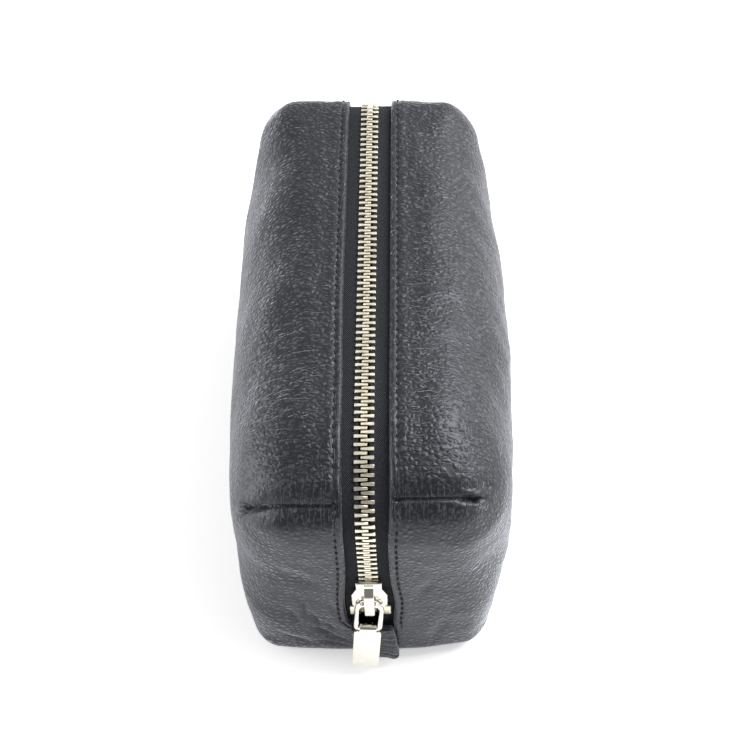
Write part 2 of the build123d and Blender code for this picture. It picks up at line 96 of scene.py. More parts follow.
def pebbled_leather():
    """Black full-grain leather, drum dyed and shrunken. Its grain is smooth pebbles of about 2 mm, a little
    longer across the bag, parted by fine cracks whose darkness is painted shade in the base colour. Where a
    seam pulls it tight, the pebbles are flat and fine creases run on it; fine raised creases also cross the top."""
    material, shader = finish_named("pebbled_leather")
    tree = material.node_tree
    place = add(material, "ShaderNodeTexCoord")
    drift = add(material, "ShaderNodeTexNoise", {"Scale": 210.0, "Detail": 3.0},
                {"Vector": place.outputs["Object"]})
    bent = add(material, "ShaderNodeVectorMath", {1: (GRAIN_BEND, GRAIN_BEND, GRAIN_BEND)},
               {0: drift.outputs["Color"], 2: place.outputs["Object"]}, operation="MULTIPLY_ADD")
    drawn_out = add(material, "ShaderNodeMapping", {"Scale": GRAIN_DRAW}, {"Vector": bent.outputs["Vector"]})
    border = add(material, "ShaderNodeTexVoronoi", {"Scale": 1 / GRAIN},
                 {"Vector": drawn_out.outputs["Vector"]}, feature="DISTANCE_TO_EDGE")
    pebble = add(material, "ShaderNodeMapRange", {"From Max": 0.58},
                 {"Value": border.outputs["Distance"]}, interpolation_type="SMOOTHSTEP")
    dome = add(material, "ShaderNodeTexVoronoi", {"Scale": 1 / BROAD_GRAIN, "Smoothness": 0.6},
               {"Vector": drawn_out.outputs["Vector"]}, feature="SMOOTH_F1")
    slow = add(material, "ShaderNodeTexNoise", {"Scale": 55.0, "Detail": 3.0},
               {"Vector": place.outputs["Object"]})
    pull = add(material, "ShaderNodeAttribute", attribute_name="pull")
    drawn = add(material, "ShaderNodeAttribute", attribute_name="drawn")
    unrolled = add(material, "ShaderNodeAttribute", attribute_name="unrolled")
    broad = add(material, "ShaderNodeMath", {1: -0.2}, {0: dome.outputs["Distance"]}, operation="MULTIPLY")
    both = add(material, "ShaderNodeMath", {1: 0.3}, {0: pebble.outputs["Result"], 2: broad.outputs["Value"]},
               operation="MULTIPLY_ADD")
    patchy = add(material, "ShaderNodeMapRange", {"From Min": 0.35, "From Max": 0.65, "To Min": 0.65},
                 {"Value": slow.outputs["Fac"]})
    loose = add(material, "ShaderNodeMapRange", {"To Min": 1.0, "To Max": 0.2},
                {"Value": pull.outputs["Fac"]})
    share = add(material, "ShaderNodeMath", links={0: patchy.outputs["Result"], 1: loose.outputs["Result"]},
                operation="MULTIPLY")
    pebbles = add(material, "ShaderNodeMath", links={0: both.outputs["Value"], 1: share.outputs["Value"]},
                  operation="MULTIPLY")
    height = creases(material, unrolled, (0.9, 0.2, 1.0), pull, 0.38, pebbles)
    height = creases(material, unrolled, (0.16, 0.75, 1.0), drawn, 0.26, height)
    bump = add(material, "ShaderNodeBump", {"Strength": 1.0, "Distance": GRAIN_DEPTH},
               {"Height": height.outputs["Value"]})
    tree.links.new(bump.outputs["Normal"], shader.inputs["Normal"])
    # painted shade: the base colour goes nearly black in the cracks between the pebbles, where shade falls
    tint = ramp(material, pebble.outputs["Result"], [(0.02, "#050506"), (0.35, "#1D1E20"), (1.0, "#2A2B2E")])
    tree.links.new(tint.outputs["Color"], shader.inputs["Base Color"])
    wear = add(material, "ShaderNodeMapRange", {"To Min": 0.37, "To Max": 0.49},
               {"Value": slow.outputs["Fac"]})
    tree.links.new(wear.outputs["Result"], shader.inputs["Roughness"])
    shader.inputs["Specular IOR Level"].default_value = 0.62
    shader.inputs["Specular Tint"].default_value = colour("#F2F5FF")
    shader.inputs["Sheen Weight"].default_value = 0.9
    shader.inputs["Sheen Roughness"].default_value = 0.3
    shader.inputs["Sheen Tint"].default_value = colour("#F1F4FF")
    return material


def creases(material, unrolled, scale, strength, rise, below):
    """Adds fine raised creases, drawn out one way over the unrolled skin, to the height below them."""
    drawn_out = add(material, "ShaderNodeMapping", {"Scale": scale}, {"Vector": unrolled.outputs["Vector"]})
    fold = add(material, "ShaderNodeTexNoise", {"Scale": 1.0, "Detail": 2.0, "Roughness": 0.5, "Distortion": 0.8},
               {"Vector": drawn_out.outputs["Vector"]})
    ridge = add(material, "ShaderNodeMapRange", {"From Min": 0.57, "From Max": 0.65},
                {"Value": fold.outputs["Fac"]}, interpolation_type="SMOOTHSTEP")
    crease = add(material, "ShaderNodeMath", links={0: ridge.outputs["Result"], 1: strength.outputs["Fac"]},
                 operation="MULTIPLY")
    return add(material, "ShaderNodeMath", {1: rise}, {0: crease.outputs["Value"], 2: below.outputs["Value"]},
               operation="MULTIPLY_ADD")


def woven(name, twill, stops, sheen):
    """Black polyester cloth, woven in a fine twill: diagonal ribs with small lit threads, their highlights and
    the shade between the ribs painted into the base colour.
    """
    material, shader = finish_named(name)
    tree = material.node_tree
    unrolled = add(material, "ShaderNodeAttribute", attribute_name="unrolled")
    turned = add(material, "ShaderNodeMapping", {"Rotation": (0, 0, radians(38))},
                 {"Vector": unrolled.outputs["Vector"]})
    rib = add(material, "ShaderNodeTexWave", {"Scale": WAVE_PERIOD / twill, "Distortion": 0.4, "Detail": 1.0},
              {"Vector": turned.outputs["Vector"]})
    pick = add(material, "ShaderNodeTexVoronoi", {"Scale": 1 / SPECK}, {"Vector": unrolled.outputs["Vector"]})
    thread = add(material, "ShaderNodeMath", {1: 0.6},
                 {0: pick.outputs["Distance"], 2: rib.outputs["Fac"]}, operation="MULTIPLY_ADD")
    bump = add(material, "ShaderNodeBump", {"Strength": 0.9, "Distance": 0.00022},
               {"Height": thread.outputs["Value"]})
    tree.links.new(bump.outputs["Normal"], shader.inputs["Normal"])
    # painted highlight and shade: the base colour follows the weave's height, dark in its low parts and bright on
    # the raised specks
    tint = ramp(material, thread.outputs["Value"], stops)
    tree.links.new(tint.outputs["Color"], shader.inputs["Base Color"])
    shader.inputs["Roughness"].default_value = 0.8
    shader.inputs["Specular IOR Level"].default_value = 0.2
    shader.inputs["Sheen Weight"].default_value = sheen
    return material


def cast_metal(name, bright, dull, roughness, brushed):
    """A plated die-cast metal: bright where it is rubbed, a little duller and rougher elsewhere."""
    material, shader = finish_named(name)
    tree = material.node_tree
    place = add(material, "ShaderNodeTexCoord")
    cloud = add(material, "ShaderNodeTexNoise", {"Scale": 400.0, "Detail": 3.0},
                {"Vector": place.outputs["Object"]})
    tint = ramp(material, cloud.outputs["Fac"], [(0.3, dull), (0.65, bright)])
    tree.links.new(tint.outputs["Color"], shader.inputs["Base Color"])
    haze = add(material, "ShaderNodeMapRange", {"To Min": roughness * 0.7, "To Max": roughness * 1.4},
               {"Value": cloud.outputs["Fac"]})
    tree.links.new(haze.outputs["Result"], shader.inputs["Roughness"])
    bump = add(material, "ShaderNodeBump", {"Strength": brushed, "Distance": 0.00003},
               {"Height": cloud.outputs["Fac"]})
    tree.links.new(bump.outputs["Normal"], shader.inputs["Normal"])
    shader.inputs["Metallic"].default_value = 1.0
    return material


def grained(name, cell, depth, dark, light, roughness):
    """A dull material of small cells or fibres, with painted shade in the hollows between them and lighter colour
    on them.
    """
    material, shader = finish_named(name)
    tree = material.node_tree
    place = add(material, "ShaderNodeTexCoord")
    cells = add(material, "ShaderNodeTexVoronoi", {"Scale": 1 / cell}, {"Vector": place.outputs["Object"]})
    bump = add(material, "ShaderNodeBump", {"Strength": 1.0, "Distance": depth},
               {"Height": cells.outputs["Distance"]})
    tree.links.new(bump.outputs["Normal"], shader.inputs["Normal"])
    # painted shade: the base colour darkens towards the cell edges, in the hollows where shade falls
    tint = ramp(material, cells.outputs["Distance"], [(0.15, light), (0.7, dark)])
    tree.links.new(tint.outputs["Color"], shader.inputs["Base Color"])
    shader.inputs["Roughness"].default_value = roughness
    return material


# the leather's grain in metres: a pebble's size, the broader unevenness, how far both are bent, and their
# height; then how many times closer than that the pebbles stand along each axis
GRAIN = 0.0021
BROAD_GRAIN = 0.0029
GRAIN_BEND = 0.0008
GRAIN_DEPTH = 0.0013
GRAIN_DRAW = (0.92, 1.2, 0.95)
# a wave texture of scale 1 has this period, and a speck of the cloth, which gets a painted highlight, is this
# many millimetres
WAVE_PERIOD = pi / 10
SPECK = 0.65
LEATHER = pebbled_leather()
TAPE_CLOTH = woven("woven_polyester_tape", 0.6, [(0.3, "#09090B"), (0.8, "#141417"), (1.0, "#3C3E44")], 0.0)
LINING_CLOTH = woven("polyester_lining", 0.3, [(0.3, "#0C0C0E"), (1.0, "#2A2A2E")], 0.3)
TEETH_METAL = cast_metal("nickel_silver", "#FBF5E3", "#EDE4CC", 0.36, 0.1)
POLISHED_NICKEL = cast_metal("polished_nickel", "#F6F3EA", "#ECE9DF", 0.07, 0.02)
FOAM = grained("foam_interlining", 0.0009, 0.0004, "#1E1E20", "#4A4A4E", 0.9)
BOARD = grained("grey_board", 0.0006, 0.0001, "#47443E", "#6C6860", 0.85)
THREAD = grained("bonded_nylon_thread", 0.00025, 0.0001, "#020203", "#0C0C0E", 0.7)


# ---------------------------------------------------------------- the shape of the bag

def smooth(value, low, high):
    """0 below low, 1 above high, and an easy curve between them."""
    t = np.clip((value - low) / (high - low), 0, 1)
    return t * t * (3 - 2 * t)


def bell(off, width):
    """1 where off is 0, falling away evenly on both sides over the width."""
    return np.exp(-(off / width) ** 2)


# the bag's side outline as (length, radius) runs: up the near end, over the top, down and back under the base
RUNS = [
    (BASE_BEND * radians(45), BASE_BEND),
    (NEAR_BEND_HEIGHT - BASE_BEND, 0),
    (NEAR_BEND * radians(NEAR_TURN), NEAR_BEND),
    (CROWN_BEND * radians(CROWN_TURN), CROWN_BEND),
    (HALF_LENGTH - FAR_BEND - CROWN_START, 0),
    (FAR_BEND * radians(90), FAR_BEND),
    (HEIGHT - FAR_BEND - BASE_BEND, 0),
    (BASE_BEND * radians(90), BASE_BEND),
    (2 * (HALF_LENGTH - BASE_BEND), 0),
    (BASE_BEND * radians(45), BASE_BEND),
]
RUN_ENDS = np.cumsum([length for length, _ in RUNS])
(NEAR_FACE, NEAR_FACE_END, NEAR_BEND_END, CROWN_END, TOP_END, FAR_FACE, FAR_FACE_END,
 BASE_FACE, BASE_FACE_END, ROUND_TRIP) = RUN_ENDS
NEAR_SEAM = NEAR_FACE_END + NEAR_BEND * radians(90 - SEAM_SLOPE)
FAR_SEAM = TOP_END + FAR_BEND * radians(SEAM_SLOPE)
FAR_BASE = FAR_FACE_END + BASE_BEND * radians(45)


def walk(distances):
    """Places (y, z) and headings on the bag's side outline, going up the near end from the base."""
    out = []
    for distance in distances:
        y = BASE_BEND - HALF_LENGTH - BASE_BEND * cos(radians(45))
        z = BASE_BEND - BASE_BEND * sin(radians(45))
        heading = radians(135)
        for length, radius in RUNS:
            step = min(distance, length)
            turn = step / radius if radius else 0
            y += radius * (sin(heading) - sin(heading - turn)) if radius else step * cos(heading)
            z += radius * (cos(heading - turn) - cos(heading)) if radius else step * sin(heading)
            heading -= turn
            distance -= step
            if distance <= 0:
                break
        out.append((y, z, heading))
    return np.array(out)


def spaced(start, end, count, dense, reach=9.0, more=2.0):
    """Distances from start up to end, closer together near the dense places."""
    fine = np.linspace(start, end, 4000)
    weight = np.ones(len(fine))
    for seam in dense:
        weight += more * bell(fine - seam, reach)
    total = np.concatenate([[0], np.cumsum((weight[1:] + weight[:-1]) / 2)])
    return np.interp(np.linspace(0, total[-1], count + 1)[:-1], total, fine)


# rows of points over an end and over the top, closer together at the seams and the folds by the near foot
END_ROWS, TOP_ROWS = 96, 180
FOOT_FOLDS = 25.0
ROWS = np.concatenate([
    spaced(0, NEAR_SEAM, END_ROWS, [FOOT_FOLDS, NEAR_SEAM]),
    spaced(NEAR_SEAM, FAR_SEAM, TOP_ROWS, [NEAR_SEAM, FAR_SEAM]),
    spaced(FAR_SEAM, FAR_BASE, END_ROWS, [FAR_SEAM]),
    spaced(FAR_BASE, ROUND_TRIP, TOP_ROWS, []),
])
ROW_PLACES = walk(ROWS)


# the side rounding is eased over this length, and stays this much under the outline's own bends
EASED_OVER = 14
BEND_MARGIN = 0.4


def side_rounding():
    """The radius that turns the outline into the side wall, at each row."""
    stations = [
        (0, 9.5), (NEAR_FACE, 9.8), (NEAR_FACE + 18, 12.5), (NEAR_FACE + 50, 22), (NEAR_FACE_END, 24.5),
        (NEAR_BEND_END, 25.5), (CROWN_END - 12, 30), (CROWN_END + 20, 32), (TOP_END - 24, 30),
        (TOP_END + 8, 15.5), (FAR_FACE, 14.5), (FAR_FACE + 50, 13.5), (FAR_FACE_END, 9.8),
        (FAR_BASE, 9.5), (BASE_FACE, 9.8), (BASE_FACE + 20, 12), (BASE_FACE_END - 20, 12),
        (BASE_FACE_END, 9.8), (ROUND_TRIP, 9.5),
    ]
    fine = np.linspace(-ROUND_TRIP, 2 * ROUND_TRIP, 6000)
    raw = np.interp(fine % ROUND_TRIP, *zip(*stations))
    width = int(EASED_OVER / (fine[1] - fine[0]))
    eased = np.convolve(raw, np.ones(width) / width, "same")
    return np.minimum(np.interp(ROWS, fine, eased), limit_at_rows())


def limit_at_rows():
    """The tightest bend of the outline near each row, less a little, which the side rounding stays under."""
    limits = []
    for distance in ROWS:
        run = int(np.searchsorted(RUN_ENDS, distance, side="right"))
        radius = RUNS[min(run, len(RUNS) - 1)][1]
        limits.append(radius - BEND_MARGIN if radius else np.inf)
    return np.array(limits)


def on_ends_and_top(height):
    """Which rows are above a height on the bag's two ends and its top."""
    return (ROWS > NEAR_FACE) & (ROWS < FAR_FACE_END) & (ROW_PLACES[:, 1] > height)


ROUNDING = side_rounding()


# the zip's window in the leather: its foot, the slider's place in it, and the gap where the two halves meet
WINDOW_FOOT = 3.5
SLIDER_HEIGHT = 42
MIDDLE_GAP = 0.12


def edge_of_window(side):
    """How far the leather's turned edge stands from the middle of the zip at each row."""
    y, z, _ = ROW_PLACES.T
    near = ROWS < ROUND_TRIP / 2
    at_end = (ROWS < NEAR_SEAM) | (ROWS > FAR_FACE)
    if side > 0:
        edge = 8.0 + 1.1 * smooth(z, 82, 104)
        foot = 9.0 * smooth(z, WINDOW_FOOT, WINDOW_FOOT + 4)
        swell = 1.5 * bell(z - SLIDER_HEIGHT, 13) * at_end + 1.6 * (1 - smooth(z, 10, 34))
    else:
        edge = 8.1 + 0.7 * smooth(y, -60, -20)
        foot = 4.0 * smooth(z, WINDOW_FOOT, WINDOW_FOOT + 4) + 5.0 * smooth(z, 22, 33)
        swell = 1.5 * bell(z - SLIDER_HEIGHT, 17) * at_end
    edge = np.where(at_end, np.minimum(edge, foot + MIDDLE_GAP), edge)
    under = ROWS > FAR_FACE_END
    edge = np.where(under | (ROWS < NEAR_FACE), MIDDLE_GAP, edge)
    return edge + swell * near * (z > WINDOW_FOOT) * ~under * smooth(z, WINDOW_FOOT, 12)


# the turned edge: the radius of its roll, the hem under it, the leather's thickness and the row of stitches
ROLL = 1.1
HEM_WIDTH = 4.0
HEM_DEPTH = 2.4
WALL = 1.3
STITCH_INSET = 2.8
# steps over the hem, the roll, the flat and the turn into the side wall, and a band with its own steps
HEM_STEPS, ROLL_STEPS, FLAT_STEPS, TURN_STEPS = 4, 7, 20, 36
EDGE_BAND = 6.0
# at each hand: how far the near end's outer corner is drawn in, and how far the far one has sunk
END_BOW = {1: 4.0, -1: 2.4}
FAR_DROP = {1: 2.7, -1: 0.0}
# at each hand: how far out the corner seam runs; its drop at the zip, its further drop, and where that
# starts, how wide it is and its power
SEAM_REACH = {1: 46.0, -1: 47.0}
SEAM_DROP = {1: (0.5, 1.4, 28.0, 18.0, 2.0), -1: (2.9, 6.5, 30.0, 23.0, 2.5)}
# soft dents: hand, place along and across, turn, length, width and depth
DENTS = (
    (-1, 37.0, 27.3, 1.5, 6.5, 1.0, 1.32),
    (-1, 29.0, 22.5, 1.2, 5.0, 1.0, 1.43),
    (-1, 19.0, 18.5, 0.64, 6.0, 0.9, 1.54),
    (-1, 14.5, 15.0, 0.35, 5.0, 0.8, 1.1),
    (-1, 11.0, 17.0, 0.3, 6.0, 0.8, 0.99),
    (-1, 24.0, 16.5, 0.95, 4.0, 0.8, 1.1),
    (-1, 38.0, 14.5, 1.4, 5.0, 1.1, 0.77),
    (-1, 14.0, 33.0, 0.5, 7.0, 1.5, 0.88),
    (-1, 31.0, 32.0, 1.3, 5.0, 1.2, 0.88),
    (-1, 60.0, 30.0, 0.5, 9.0, 3.5, 0.88),
    (1, 20.0, 30.0, 1.4, 10.0, 3.0, 0.88),
    (1, 52.0, 22.0, 1.1, 8.0, 2.5, 0.66),
)
EDGE_PLACES = spaced(0, EDGE_BAND, 16, [STITCH_INSET - ROLL], 0.7, 3.0)


def columns(depth, row, edge):
    """One row of points from the turned edge out to the side wall: x, inset, turn, across and facing."""
    radius = ROUNDING[row]
    flat_end = HALF_WIDTH - radius
    start = edge + ROLL
    flat_steps, turn_steps = FLAT_STEPS // 2, TURN_STEPS // 3
    out = []
    if depth == 0:
        flat_steps, turn_steps = FLAT_STEPS, TURN_STEPS
        for k in range(HEM_STEPS):
            x = start + HEM_WIDTH * (1 - k / HEM_STEPS)
            out.append((x, HEM_DEPTH, 0.0, x, -1.0))
        for k in range(ROLL_STEPS + 1):
            angle = pi * (1 - k / (ROLL_STEPS + 1))
            out.append((start - ROLL * sin(angle), ROLL * (1 - cos(angle)), 0.0, edge, -cos(angle)))
        for place in EDGE_PLACES:
            out.append((start + place, 0.0, 0.0, start + place, 1.0))
        first = start + EDGE_BAND
    elif depth == WALL:
        first = start + HEM_WIDTH
    else:
        first = edge
    for k in range(flat_steps):
        x = first + (flat_end - first) * k / flat_steps
        out.append((x, depth, 0.0, x, 1.0))
    for k in range(turn_steps + 1):
        turn = pi / 2 * k / turn_steps
        out.append((flat_end + (radius - depth) * sin(turn), radius - (radius - depth) * cos(turn), turn,
                    flat_end + radius * turn, 1.0))
    return out


def second_differences(count):
    """The lengths and directions that part the second differences of a row of points."""
    return np.linalg.eigh(np.diag(np.full(count, -2.0)) + np.diag(np.ones(count - 1), 1)
                          + np.diag(np.ones(count - 1), -1))


def side_patch(loop):
    """Fills the loop where the side wall starts: a grid whose every point is midway between its neighbours."""
    grid = np.zeros((TOP_ROWS + 1, END_ROWS + 1, 2))
    grid[0] = loop[:END_ROWS + 1]
    grid[:, -1] = loop[END_ROWS:END_ROWS + TOP_ROWS + 1]
    grid[-1] = loop[END_ROWS + TOP_ROWS:2 * END_ROWS + TOP_ROWS + 1][::-1]
    grid[:, 0] = np.vstack([loop[2 * END_ROWS + TOP_ROWS:], loop[:1]])[::-1]
    around = -(grid[:-2, 1:-1] + grid[2:, 1:-1] + grid[1:-1, :-2] + grid[1:-1, 2:])
    # the equations part into one for each pair of waves over the two ways of the grid
    lengths, ways = second_differences(TOP_ROWS - 1)
    cross_lengths, cross_ways = second_differences(END_ROWS - 1)
    for axis in (0, 1):
        parted = ways.T @ around[:, :, axis] @ cross_ways / (lengths[:, None] + cross_lengths)
        grid[1:-1, 1:-1, axis] = ways @ parted @ cross_ways.T
    return grid


def waves(points, seed, length, count=7):
    """A soft unevenness: a sum of waves about one length, in directions drawn from a seeded source."""
    draw = np.random.default_rng(seed)
    total = np.zeros(len(points))
    for _ in range(count):
        way = draw.normal(size=3)
        way *= tau / (length * draw.uniform(0.7, 1.5)) / np.linalg.norm(way)
        total += np.sin(points @ way + draw.uniform(0, tau))
    return total / sqrt(count)


WAIST_HEIGHT = 55
WAIST_HALF_WIDTH = 55.6


def half_width_at(y, z):
    """Half the bag's width: full at the waist, drawn in to the base, the top and both ends."""
    low = 6.5 * (np.clip(WAIST_HEIGHT - z, 0, 60) / WAIST_HEIGHT) ** 2
    high = 5.5 * (np.clip(z - WAIST_HEIGHT, 0, 60) / (HEIGHT - WAIST_HEIGHT)) ** 2
    far, near = np.clip(y / HALF_LENGTH, 0, 1), np.clip(-y / HALF_LENGTH, 0, 1)
    return WAIST_HALF_WIDTH - low - high - 8.0 * far ** 2 - 5.0 * near ** 2.5


def settle(points, side):
    """Bulges the straight-sided form out to the filled bag's shape, and lets it lean a little."""
    x, y, z = points.T
    away = smooth(x, 12, 30)
    x = x * (1 + (half_width_at(y, z) / HALF_WIDTH - 1) * away)
    lean = 1.7 * smooth(z, 10, 75) * smooth(-y, -60, 0) - 0.6
    free = 1 - (1 - smooth(x, 9, 26)) * smooth(z, 2, 20)
    out = np.clip((x - 8) / 36, 0, 1.2) ** 2
    near, far = smooth(-y, 60, 109) * (1 - smooth(z, 55, 85)), smooth(y, 50, 109)
    bowed = y + END_BOW[side] * out * (near - 0.3 * far)
    fallen = z - FAR_DROP[side] * out * far * smooth(z, 60, 110)
    return np.column_stack([side * x + lean * free, bowed, np.maximum(fallen, 0)])


def seam_line(side, seam, across):
    """Where a corner seam runs: straight over the bag as seen, so it drops along the skin as it goes out."""
    if seam == FAR_SEAM:
        return np.full_like(across, seam)
    at_zip, outside, start, width, power = SEAM_DROP[side]
    return seam - at_zip - outside * np.clip((across - start) / width, 0, 1.3) ** power


def edge_relief(across, edge, where):
    """The turned edge beside the zip: a rounded strip, drawn down along the line of stitches."""
    off = across - edge
    strip = 0.1 * bell(off - 1.3, 0.9)
    dip = 0.4 * bell(off - STITCH_INSET, 0.45)
    beyond = 0.2 * bell(off - STITCH_INSET - 2.2, 1.6)
    return (strip - dip + beyond) * where


# the turn of the left seam's two arms, about 35 degrees each way
ARM_COS, ARM_SIN = 0.82, 0.57


def relief(side, distance, across, place):
    """How far the leather stands out (+) or is drawn in (-): seams, puffs, creases and soft waves."""
    out = 0.45 * waves(place, 5 + side, 42) * smooth(across, 14, 34)
    out += 0.16 * waves(place, 15 + side, 13) * smooth(across, 12, 22)
    for seam in (NEAR_SEAM, FAR_SEAM):
        off = distance - seam_line(side, seam, across)
        tip = across - SEAM_REACH[side]
        reach = 1 - smooth(tip, -4, 2)
        from_edge = smooth(across, 8, 12)
        drawn, puff = (0.8, 0.5) if side > 0 else (1.3, 0.8)
        out -= (1.2 * bell(off, 0.5) + drawn * np.exp(-np.abs(off) / 2.6)) * reach
        out += puff * bell(np.abs(off) - 8.0, 4.5) * reach * from_edge
        if seam == FAR_SEAM:
            continue
        if side > 0:
            # the right seam ends in a wide ragged crease with raised lips, and a dimple beyond it
            ragged = off + 0.5 * np.sin(across * 2.1) + 0.3 * np.sin(across * 4.7 + 1)
            out -= 2.2 * bell(ragged, 1.0) * bell(tip + 4, 4.0)
            out += 1.1 * bell(np.abs(ragged) - 2.6, 1.1) * bell(tip + 3.5, 4.5)
            out -= 1.1 * bell(off - 6.0, 1.6) * bell(tip - 3.0, 1.8)
        else:
            # the left seam opens into a wedge with two arms, and the leather stands up between them
            out -= 1.8 * bell(off, 1.3) * bell(tip + 2, 4.5)
            for arm in (-1, 1):
                along = tip * ARM_COS + off * arm * ARM_SIN
                beside = off * ARM_COS - tip * arm * ARM_SIN
                out -= 2.2 * bell(beside, 1.4) * bell(along - 3.2, 3.6)
            out += 1.2 * bell(off, 2.4) * bell(tip - 6.5, 2.6)
    for hand, along, across_at, turn, length, width, depth in DENTS:
        if hand == side:
            u, v = distance - along, across - across_at
            beside = u * cos(turn) - v * sin(turn)
            lengthwise = u * sin(turn) + v * cos(turn)
            out -= depth * bell(beside, width) * bell(lengthwise, length)
    return out * smooth(place[:, 2], 0.5, 12)


def pull_of_seams(side, distance, across, edge):
    """How tight the leather is drawn: 1 at a corner seam, nearly so on the turned edge, 0 away from both."""
    tight = 0.75 * (1 - smooth(across - edge, STITCH_INSET - 0.4, STITCH_INSET + 1.2))
    for seam in (NEAR_SEAM, FAR_SEAM):
        off = np.abs(distance - seam_line(side, seam, across))
        tight += np.exp(-(off / 6.5) ** 1.5) * (1 - smooth(across, SEAM_REACH[side], SEAM_REACH[side] + 10))
    return np.minimum(tight, 1)


def drawn_at(side, distance, across):
    """How far the top is drawn into fine creases that run across it: most by the near seam, 0 at the zip."""
    reach, strength = (110.0, 1.0) if side > 0 else (90.0, 0.6)
    past = distance - NEAR_SEAM
    return (strength * smooth(past, 2, 10) * bell(np.clip(past - 10, 0, None), reach)
            * smooth(across, 11, 20) * (1 - smooth(across, 46, 58)))


def new_piece(name, points, faces, material):
    """A smooth mesh piece from points in millimetres, with its finish, riding on the bag."""
    mesh = bpy.data.meshes.new(name)
    mesh.from_pydata((points * MM).tolist(), [], faces)
    mesh.update()
    mesh.shade_smooth()
    mesh.materials.append(material)
    piece = bpy.data.objects.new(name, mesh)
    bpy.context.scene.collection.objects.link(piece)
    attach(piece, "bag")
    return piece


def keep(piece, name, values):
    """Stores a value or a vector at each point of a piece, for its material to read."""
    kind, key = ("FLOAT_VECTOR", "vector") if values.ndim == 2 else ("FLOAT", "value")
    attribute = piece.data.attributes.new(name, kind, "POINT")
    attribute.data.foreach_set(key, values.astype(np.float32).ravel())


# where the side wall counts as standing, for relief: on no seam, and beyond the turn
FAR_FROM_SEAMS = -999.0
OUT_ON_WALL = 90.0


def sheet_of(rows, edges, depth, side, start):
    """One face of a half shell: its points, its quads numbered from start, the column of points at its
    inner edge, and the three things that its material reads."""
    count = rows.shape[1]
    y, z, heading = [a[:, None] for a in ROW_PLACES.T]
    out_y, out_z = -np.sin(heading), np.cos(heading)
    x, inset, turn, across, facing = [rows[:, :, k] for k in range(5)]
    place = np.stack([x, y - out_y * inset, z - out_z * inset], axis=2)
    normal = np.stack([np.sin(turn), out_y * np.cos(turn), out_z * np.cos(turn)], axis=2)
    inner = side_patch(place[:, -1, 1:])[1:-1, 1:-1].reshape(-1, 2)
    wall = np.column_stack([np.full(len(inner), HALF_WIDTH - depth), inner])
    points = np.vstack([place.reshape(-1, 3), wall])
    normals = np.vstack([normal.reshape(-1, 3), np.tile([1.0, 0, 0], (len(wall), 1))])
    distance = np.repeat(ROWS, count)
    lift = relief(side, np.append(distance, np.full(len(wall), FAR_FROM_SEAMS)),
                  np.append(across.ravel(), np.full(len(wall), OUT_ON_WALL)), points)
    lift[:len(distance)] *= facing.ravel() > 0
    window = (x[:, HEM_STEPS] < 12) if depth == 0 else np.zeros(len(ROWS), bool)
    lift[:len(distance)] += np.repeat(window, count) * (facing.ravel() > 0.95) * edge_relief(
        across.ravel(), np.repeat(edges, count), np.repeat(ROW_PLACES[:, 1] > 24, count))
    index = start + np.arange(len(ROWS) * count).reshape(-1, count)
    following = np.roll(index, -1, axis=0)
    quads = np.stack([index[:, :-1], index[:, 1:], following[:, 1:], following[:, :-1]], axis=2)
    patch = np.empty((TOP_ROWS + 1, END_ROWS + 1), int)
    patch[1:-1, 1:-1] = start + len(distance) + np.arange(len(wall)).reshape(TOP_ROWS - 1, -1)
    rim = index[:, -1]
    far_foot = 2 * END_ROWS + TOP_ROWS
    patch[0, :] = rim[:END_ROWS + 1]
    patch[:, -1] = rim[END_ROWS:END_ROWS + TOP_ROWS + 1]
    patch[-1, ::-1] = rim[END_ROWS + TOP_ROWS:far_foot + 1]
    patch[::-1, 0] = np.append(rim[far_foot:], rim[0])
    more = np.stack([patch[:-1, :-1], patch[1:, :-1], patch[1:, 1:], patch[:-1, 1:]], axis=2)
    faces = np.vstack([quads.reshape(-1, 4), more.reshape(-1, 4)])
    unrolled = np.column_stack([np.append(across.ravel(), inner[:, 0]), np.append(distance, inner[:, 1]),
                                np.zeros(len(points))])
    on_wall = np.zeros(len(wall))
    pull = np.append(pull_of_seams(side, distance, across.ravel(), np.repeat(edges, count)), on_wall)
    drawn = np.append(drawn_at(side, distance, across.ravel()), on_wall)
    return settle(points + normals * lift[:, None], side), faces, index[:, 0], unrolled, pull, drawn


def half_shell(side, name, edges, outside, inside, material):
    """Half of one layer of the bag, a closed skin between two depths below the leather's face."""
    outer_rows = np.array([columns(outside, row, edges[row]) for row in range(len(ROWS))])
    inner_rows = np.array([columns(inside, row, edges[row]) for row in range(len(ROWS))])
    outer = sheet_of(outer_rows, edges, outside, side, 0)
    inner = sheet_of(inner_rows, edges, inside, side, len(outer[0]))
    rim = np.stack([outer[2], np.roll(outer[2], -1), np.roll(inner[2], -1), inner[2]], axis=1)
    quads = np.vstack([outer[1], inner[1][:, ::-1], rim])
    quads = quads if side > 0 else quads[:, ::-1]
    piece = new_piece(name, np.vstack([outer[0], inner[0]]), quads.tolist(), material)
    keep(piece, "unrolled", np.vstack([outer[3], inner[3]]))
    keep(piece, "pull", np.append(outer[4], inner[4]))
    keep(piece, "drawn", np.append(outer[5], inner[5]))
    return piece


# the depths of the foam's and the lining's two faces, and where each stops: beside the zip, beside and
# beyond the base board, and short of its other half
FOAM_DEPTHS = (1.6, 2.8)
LINING_DEPTHS = (3.5, 4.0)
FOAM_EDGE, LINING_EDGE = 15.1, 9.5
BOARD_SIDE, BOARD_END = 34.3, 94.6
MEETING_GAP = 0.15


def edge_of_lining():
    """The lining stops beside the chain, and meets its other half below the window."""
    return np.where(on_ends_and_top(21), LINING_EDGE, MEETING_GAP)


def edge_of_foam():
    """The foam stops beside the tape, and round the base board."""
    board = (ROW_PLACES[:, 1] < 1) & (np.abs(ROW_PLACES[:, 0]) < BOARD_END)
    return np.where(on_ends_and_top(16), FOAM_EDGE, np.where(board, BOARD_SIDE, MEETING_GAP))


